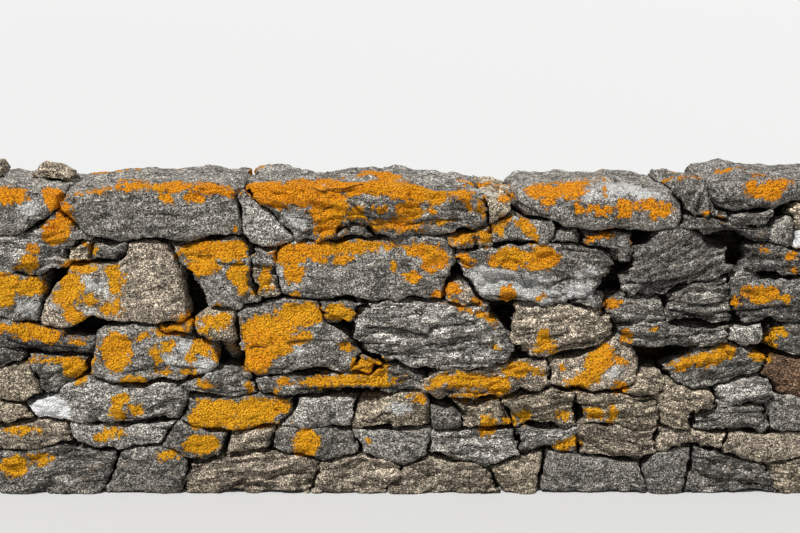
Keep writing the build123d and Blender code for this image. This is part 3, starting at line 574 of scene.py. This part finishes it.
def depth_in(spots, x, z):
    """How far inside the nearest of some patches each place lies, where 0.5 is its edge."""
    deepest = np.full(len(x), -2.0)
    for middle_x, middle_z, half_x, half_z, tilt in spots:
        angle = math.radians(tilt)
        along = (x - middle_x) * math.cos(angle) + (z - middle_z) * math.sin(angle)
        across = (z - middle_z) * math.cos(angle) - (x - middle_x) * math.sin(angle)
        away = np.sqrt((along / half_x) ** 2 + (across / half_z) ** 2)
        deepest = np.maximum(deepest, (1 - away) * min(half_x, half_z) / 0.020)
    return np.clip(deepest * 0.25 + 0.5, 0, 1)


def crust_fields(points):
    """Orange crust, pale crust and quartz at each point. What the photograph doesn't show is by chance."""
    x, z = as_pictured(points)
    x = x + 0.012 * noise(points, CRUST_BEND, 21)
    z = z + 0.010 * noise(points, CRUST_BEND, 22)
    shown = smooth_step(-points[:, 1], 0.09, 0.17) * smooth_step(SHOWN_HALF - np.abs(x), -0.02, 0.02)
    orange = noise(points, 0.16, 31) * 0.65 + 0.20 * noise(points, 0.06, 32) + 0.22
    pale = noise(points, 0.13, 41) * 0.65 + 0.15
    fields = []
    for spots, spread in ((ORANGE, orange), (PALE, pale), (QUARTZ, 0 * orange)):
        field = shown * depth_in(spots, x, z) + (1 - shown) * spread
        fields.append(np.clip(field, 0, 1))
    return fields


def stone_looks(points, normals, rock, tone, angle, centre):
    """Vertex values of one stone: its colour, its crust fields, its foliation frame and its ledges."""
    count = len(points)
    own = np.random.default_rng(int(abs(centre @ (811, 547, 293)) * 100))
    # darker towards the bottom of the wall
    low_darkening = LOW_LIGHTNESS + (1 - LOW_LIGHTNESS) * smooth_step(centre[2], *LOW_DARK_HEIGHTS)
    tint = np.array(TONES[tone]) * own.uniform(*TONE_SPREAD) * low_darkening
    colour = np.ones((count, 4))
    orange, pale, quartz = crust_fields(points)
    # upward-facing faces outside the joints are made up to a quarter lighter
    open_top = smooth_step(normals[:, 2], 0.30, 0.90) * (1 - smooth_step(buried(points), 0.02, 0.06))
    top_lightening = 1 + 0.25 * open_top
    quartz_white = np.array(TONES["white"])
    white = (rock == "veined") * smooth_step(quartz, 0.45, 0.60)[:, None]
    bare = quartz_white if tone == "white" else np.minimum(tint * top_lightening[:, None], BRIGHTEST)
    colour[:, :3] = bare * (1 - white) + quartz_white * white
    colour[:, 3] = np.clip(1.15 - points[:, 2] + 0.5 * noise(points, 0.20, 51), 0, 1)
    fields = np.ones((count, 4))
    fields[:, 0] = orange
    fields[:, 1] = pale
    # how deep in a joint a point lies, for the dirt and painted shade
    fields[:, 2] = np.clip(buried(points) / 0.10, 0, 1)
    fields[:, 3] = STREAKS[rock]
    _, drop, near = ledge_fields(points)
    ledges = np.column_stack((drop / LEDGE_REACH, near, np.zeros(count)))
    return colour, fields, turned(points, angle), ledges


def add_values(mesh, name, kind, values):
    attribute = mesh.attributes.new(name, kind, "POINT")
    key = "color" if kind == "FLOAT_COLOR" else "vector"
    attribute.data.foreach_set(key, np.ascontiguousarray(values, dtype=np.float32).ravel())


def coarseness(node):
    """Mesh size and the part of its faces kept, for the stones of a node."""
    if node.startswith(("loose", "front_pinnings")):
        return SMALL_VOXEL, SMALL_KEPT
    if node.endswith("hearting"):
        return CORE_VOXEL, CORE_KEPT
    if node.startswith("back") or node.endswith("end_stones"):
        return BACK_VOXEL, BACK_KEPT
    return FRONT_VOXEL, FRONT_KEPT


def dress(node):
    """One piece for a CAD node: all of its stones, weathered and coloured."""
    voxel, kept = coarseness(node)
    parts = []
    offset = 0
    faces = []
    for number, (points, sides) in enumerate(stones_of(node)):
        centre = points.mean(axis=0)
        rock, tone, angle = look_of(node, centre)
        passes = ROCKS[rock]["round"]
        if min(np.ptp(points, axis=0)) < SMALL_STONE:
            passes = min(passes, SMALL_PASSES)
        passes = max(int(passes * (SMOOTH_VOXEL / voxel) ** 2), 2)
        rounded, normals, quads = through(
            points, sides,
            ("REMESH", {"mode": "VOXEL", "voxel_size": voxel}),
            ("SMOOTH", {"iterations": passes, "factor": 0.5}),
        )
        seed = number * 13 + len(node)
        shaped = boxed(warped(weathered(rounded, normals, rock, angle, seed)))
        shaped, normals, triangles = through(
            shaped, quads, ("DECIMATE", {"ratio": kept, "use_collapse_triangulate": True}),
        )
        shaped = boxed(shaped)
        parts.append((shaped, *stone_looks(shaped, normals, rock, tone, angle, centre)))
        faces.extend((face + offset).tolist() for face in triangles)
        offset += len(shaped)
    points, colour, fields, grain, ledges = (np.concatenate(rows) for rows in zip(*parts))
    mesh = mesh_from(points, faces, node + "_dressed")
    add_values(mesh, "stone_colour", "FLOAT_COLOR", colour)
    add_values(mesh, "crust", "FLOAT_COLOR", fields)
    add_values(mesh, "grain", "FLOAT_VECTOR", grain)
    add_values(mesh, "ledges", "FLOAT_VECTOR", ledges)
    mesh.polygons.foreach_set("use_smooth", np.ones(len(mesh.polygons), dtype=bool))
    piece = bpy.data.objects.new(node + "_dressed", mesh)
    bpy.context.scene.collection.objects.link(piece)
    return piece


class Shader:
    """Small helper that adds and links shader nodes."""

    def __init__(self, name):
        self.material = bpy.data.materials.new(name)
        self.material.use_nodes = True
        self.nodes = self.material.node_tree.nodes
        self.links = self.material.node_tree.links
        self.surface = self.nodes["Principled BSDF"]

    def add(self, kind, inputs=None, **settings):
        node = self.nodes.new(kind)
        for key, value in settings.items():
            setattr(node, key, value)
        for key, value in (inputs or {}).items():
            self.put(node.inputs[key], value)
        return node

    def put(self, socket, value):
        if isinstance(value, bpy.types.NodeSocket):
            self.links.new(value, socket)
        else:
            socket.default_value = value

    def math(self, operation, *values):
        return self.add("ShaderNodeMath", dict(enumerate(values)), operation=operation).outputs[0]

    def ramp(self, value, low, high, bottom=0.0, top=1.0):
        node = self.add(
            "ShaderNodeMapRange",
            {0: value, 1: low, 2: high, 3: bottom, 4: top},
            interpolation_type="SMOOTHSTEP",
        )
        return node.outputs[0]

    def noise(self, vector, scale, detail=3.0, roughness=0.55):
        node = self.add("ShaderNodeTexNoise", {
            "Vector": vector, "Scale": scale, "Detail": detail, "Roughness": roughness,
        })
        return node.outputs[0]

    def mix(self, factor, first, second, blend="MIX"):
        node = self.nodes.new("ShaderNodeMix")
        node.data_type = "RGBA"
        node.blend_type = blend
        self.put(node.inputs[0], factor)
        self.put(node.inputs[6], first)
        self.put(node.inputs[7], second)
        return node.outputs[2]

    def value(self, name, kind="Color"):
        return self.add("ShaderNodeAttribute", attribute_name=name).outputs[kind]


def cracks(s, place, grain, long, streaky):
    """Dark broken lines across the stone, and finer ones along its foliation."""
    wander = s.add("ShaderNodeMapping", {"Vector": grain, "Scale": (0.30, 0.30, 1.0)}).outputs[0]
    line = s.math("ABSOLUTE", s.math("SUBTRACT", s.noise(wander, SCALES["crack"], 4.0, 0.6), 0.5))
    broken = s.ramp(s.noise(place, SCALES["broken"], 2.0), 0.45, 0.60)
    crack = s.math("MULTIPLY", s.ramp(line, 0.0, 0.040, 1.0, 0.0), broken)
    fine_line = s.math("ABSOLUTE", s.math("SUBTRACT", s.noise(long, SCALES["fine_crack"], 4.0, 0.6), 0.5))
    fine_crack = s.math("MULTIPLY", s.ramp(fine_line, 0.0, 0.050, 1.0, 0.0), streaky)
    return s.math("MAXIMUM", crack, fine_crack)


def ledge_shadow(s):
    """A dark line right under the edge of each broken ledge."""
    ledge = s.add("ShaderNodeSeparateXYZ", {0: s.value("ledges", "Vector")}).outputs
    shadow = s.math("MULTIPLY", s.ramp(ledge[0], -0.04, 0.04), s.ramp(ledge[0], 0.06, 0.26, 1.0, 0.0))
    return s.math("MULTIPLY", shadow, ledge[1])


def stone_height(s, place, rough, streaky):
    """Fine relief of the bare stone: roughness, grain, streaks along the foliation and cracks."""
    grain = s.value("grain", "Vector")
    long = s.add("ShaderNodeMapping", {"Vector": grain, "Scale": (0.22, 0.22, 1.0)}).outputs[0]
    relief = s.noise(place, SCALES["relief"], 1.0, 0.5)
    height = s.math("ADD", rough, s.math("MULTIPLY", relief, 0.60))
    streak = s.noise(long, SCALES["streak"], 3.0, 0.55)
    layered = s.math("MULTIPLY", s.math("SUBTRACT", streak, 0.5), streaky)
    height = s.math("ADD", height, s.math("MULTIPLY", layered, 1.3))
    crack = cracks(s, place, grain, long, streaky)
    return s.math("SUBTRACT", height, s.math("MULTIPLY", crack, 0.55))


def bare_stone(s, place, tone, mottle, speckle, height):
    """Colour of the bare stone: its own tone, mottled, speckled, with crystals, painted shade in its hollows,
    and stains.
    """
    fleck = s.ramp(s.noise(place, SCALES["fleck"], 1.0, 0.5), 0.68, 0.74, 0.0, 0.7)
    crystals = s.add("ShaderNodeTexVoronoi", {"Vector": place, "Scale": SCALES["crystals"]}).outputs["Color"]
    crystal = s.add("ShaderNodeSeparateColor", {0: crystals}).outputs[0]
    shade = s.ramp(mottle, 0.30, 0.70, 0.78, 1.22)
    grit = s.ramp(speckle, 0.36, 0.64, 0.36, 1.62)
    # painted shade: the lower places of the relief are made darker
    cavity_shade = s.ramp(height, 0.53, 0.91, 0.52, 1.24)
    light = s.math("MULTIPLY", s.math("MULTIPLY", shade, grit), cavity_shade)
    light = s.math("MULTIPLY", light, s.ramp(crystal, 0.0, 1.0, 0.38, 1.62))
    light = s.math("ADD", light, s.ramp(crystal, 0.92, 0.95, 0.0, 0.35))
    light = s.math("ADD", light, fleck)
    grey = s.add("ShaderNodeCombineColor", {0: light, 1: light, 2: light}).outputs[0]
    stone = s.mix(1.0, tone, grey, "MULTIPLY")
    stain = s.ramp(s.noise(place, SCALES["stain"], 3.0), 0.56, 0.74, 0.0, 0.40)
    return s.mix(stain, stone, STAIN)


def orange_crust(s, place, rough, grains, lobes):
    """Colour of the orange crust: its hue strays, with painted glints on its grains and painted shade in its
    dips, rims and crevices.
    """
    yellow = s.value("stone_colour", "Alpha")
    hue = s.ramp(s.math("ADD", s.noise(place, SCALES["hue"], 3.0), yellow), 0.55, 1.45)
    crust = s.mix(hue, ORANGE_CRUST, YELLOW_CRUST)
    # painted highlight on the crust's raised grains
    crust = s.mix(s.ramp(grains, 0.55, 0.66, 0.0, 0.55), crust, CRUST_GLINT)
    # painted shade in the dips between the crust's grains
    crust = s.mix(s.ramp(grains, 0.37, 0.47, 0.90, 0.0), crust, CRUST_DIP_SHADE)
    # painted shade along the rims between the crust's lobes
    crust = s.mix(s.ramp(lobes, 0.62, 0.84, 0.0, 0.70), crust, CRUST_RIM_SHADE)
    # painted shade in the crust's crevices
    return s.mix(s.ramp(rough, 0.26, 0.34, 0.60, 0.0), crust, CRUST_CREVICE_SHADE)


def ragged_edge(s, field, ragged, reach):
    """A field from 0 to 1 whose edge a pattern moves in and out."""
    return s.math("ADD", field, s.math("MULTIPLY", s.math("SUBTRACT", ragged, 0.5), reach))


def stone_material(name):
    """Weathered stone with pale crust, quartz, orange crust, shadowed ledges, and dirt and painted shade deep
    in the joints.
    """
    s = Shader(name)
    place = s.add("ShaderNodeTexCoord").outputs["Object"]
    crusts = s.add("ShaderNodeSeparateColor", {0: s.value("crust")}).outputs
    orange_field, pale_field, deep = crusts[0], crusts[1], crusts[2]
    streaky = s.value("crust", "Alpha")
    tone = s.value("stone_colour")
    mottle = s.noise(place, SCALES["mottle"], 4.0)
    rough = s.noise(place, SCALES["rough"], 2.5, 0.50)
    speckle = s.noise(place, SCALES["speckle"], 1.0, 0.5)
    ragged = s.noise(place, SCALES["ragged"], 5.0, 0.70)
    grains = s.noise(place, SCALES["grains"], 2.0, 0.55)
    lobes = s.add("ShaderNodeTexVoronoi", {"Vector": place, "Scale": SCALES["lobes"]}).outputs["Distance"]
    height = stone_height(s, place, rough, streaky)

    stone = bare_stone(s, place, tone, mottle, speckle, height)
    pale_mask = s.ramp(ragged_edge(s, pale_field, ragged, 1.1), 0.47, 0.60, 0.0, 0.80)
    stone = s.mix(pale_mask, stone, s.mix(s.ramp(speckle, 0.40, 0.60), *PALE_CRUST))
    quartz_mask = s.ramp(s.add("ShaderNodeSeparateColor", {0: tone}).outputs[0], 0.60, 0.68, 0.0, 0.85)
    stone = s.mix(quartz_mask, stone, QUARTZ_WHITE)
    orange_mask = s.ramp(ragged_edge(s, orange_field, ragged, 0.85), 0.49, 0.53, 0.0, 0.97)
    stone = s.mix(orange_mask, stone, orange_crust(s, place, rough, grains, lobes))
    stone = s.mix(s.math("MULTIPLY", ledge_shadow(s), 0.80), stone, LEDGE_SHADE)
    # dirt and painted shade, darker the deeper a point lies in a joint
    stone = s.mix(s.ramp(ragged_edge(s, deep, mottle, 0.35), 0.35, 1.05, 0.0, 0.85), stone, DIRT_AND_PAINTED_SHADE)
    s.put(s.surface.inputs["Base Color"], stone)
    s.surface.inputs["Roughness"].default_value = STONE_ROUGHNESS
    s.surface.inputs["Specular IOR Level"].default_value = STONE_SHINE

    height = s.math("MULTIPLY", height, s.ramp(orange_mask, 0.0, 1.0, 1.0, 0.55))
    cushions = s.math("SUBTRACT", s.math("ADD", grains, 0.3), s.math("MULTIPLY", lobes, 0.6))
    lumpy = s.math("MULTIPLY", s.math("MULTIPLY", cushions, orange_mask), 1.1)
    relief = s.math("ADD", height, lumpy)
    bump = s.add("ShaderNodeBump", {"Strength": 1.0, "Distance": BUMP_DEPTH, "Height": relief})
    s.put(s.surface.inputs["Normal"], bump.outputs[0])
    return s.material


def plain_material(name, colour, roughness):
    s = Shader(name)
    s.surface.inputs["Base Color"].default_value = (*colour, 1)
    s.surface.inputs["Roughness"].default_value = roughness
    return s.material


def dress_all():
    """Every CAD node gets one dressed piece, with the material of its own slot."""
    slots = {row["node"]: row["material_slot"] for row in frame["record"]["subparts"]}
    materials = {slot: stone_material("weathered_" + slot) for slot in sorted(set(slots.values()))}
    for node in sorted(frame["nodes"]):
        piece = dress(node)
        piece.data.materials.append(materials[slots[node]])
        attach(piece, "root")
        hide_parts(node)


def add_floor():
    """A pale floor wide enough to fill the background behind the wall."""
    far = FLOOR_REACH
    corners = [(-far, -far, 0), (far, -far, 0), (far, far, 0), (-far, far, 0)]
    mesh = mesh_from(corners, [(0, 1, 2, 3)], "floor")
    floor = bpy.data.objects.new("floor", mesh)
    floor.data.materials.append(plain_material("pale_floor", FLOOR_COLOUR, 0.9))
    bpy.context.scene.collection.objects.link(floor)


def add_sun(name, place, softness, strength):
    """A far, soft lamp that shines from a place towards the wall."""
    lamp = bpy.data.lights.new(name, "SUN")
    lamp.angle = math.radians(softness)
    lamp.energy = strength
    holder = bpy.data.objects.new(name, lamp)
    holder.location = place
    holder.rotation_euler = Vector(place).to_track_quat("Z", "Y").to_euler()
    bpy.context.scene.collection.objects.link(holder)


def add_surroundings():
    """Soft light from the sky and two suns. The camera sees the sky as a pale background."""
    world = bpy.data.worlds.new("studio")
    bpy.context.scene.world = world
    world.use_nodes = True
    nodes = world.node_tree.nodes
    links = world.node_tree.links
    background = nodes["Background"]
    background.inputs["Color"].default_value = SKY_COLOUR
    rays = nodes.new("ShaderNodeLightPath")
    seen = rays.outputs["Is Camera Ray"]
    for kind in ("Is Glossy Ray", "Is Transmission Ray"):
        either = nodes.new("ShaderNodeMath")
        either.operation = "MAXIMUM"
        links.new(seen, either.inputs[0])
        links.new(rays.outputs[kind], either.inputs[1])
        seen = either.outputs[0]
    strength = nodes.new("ShaderNodeMapRange")
    links.new(seen, strength.inputs[0])
    strength.inputs[3].default_value = SKY_LIGHT
    strength.inputs[4].default_value = SKY_SEEN
    links.new(strength.outputs[0], background.inputs["Strength"])
    add_sun("key", *KEY_SUN)
    add_sun("fill", *FILL_SUN)


def add_camera():
    """The camera at the photograph's viewing angle."""
    camera = bpy.data.cameras.new("camera")
    camera.lens = CAMERA_LENS
    camera.sensor_width = SENSOR_WIDTH
    holder = bpy.data.objects.new("camera", camera)
    holder.location = CAMERA_PLACE
    holder.rotation_euler = (math.radians(90 - CAMERA_PITCH), 0, 0)
    bpy.context.scene.collection.objects.link(holder)
    bpy.context.scene.camera = holder


dress_all()
add_floor()
add_surroundings()
add_camera()
bpy.context.scene.view_settings.view_transform = "Standard"
bpy.context.view_layer.update()
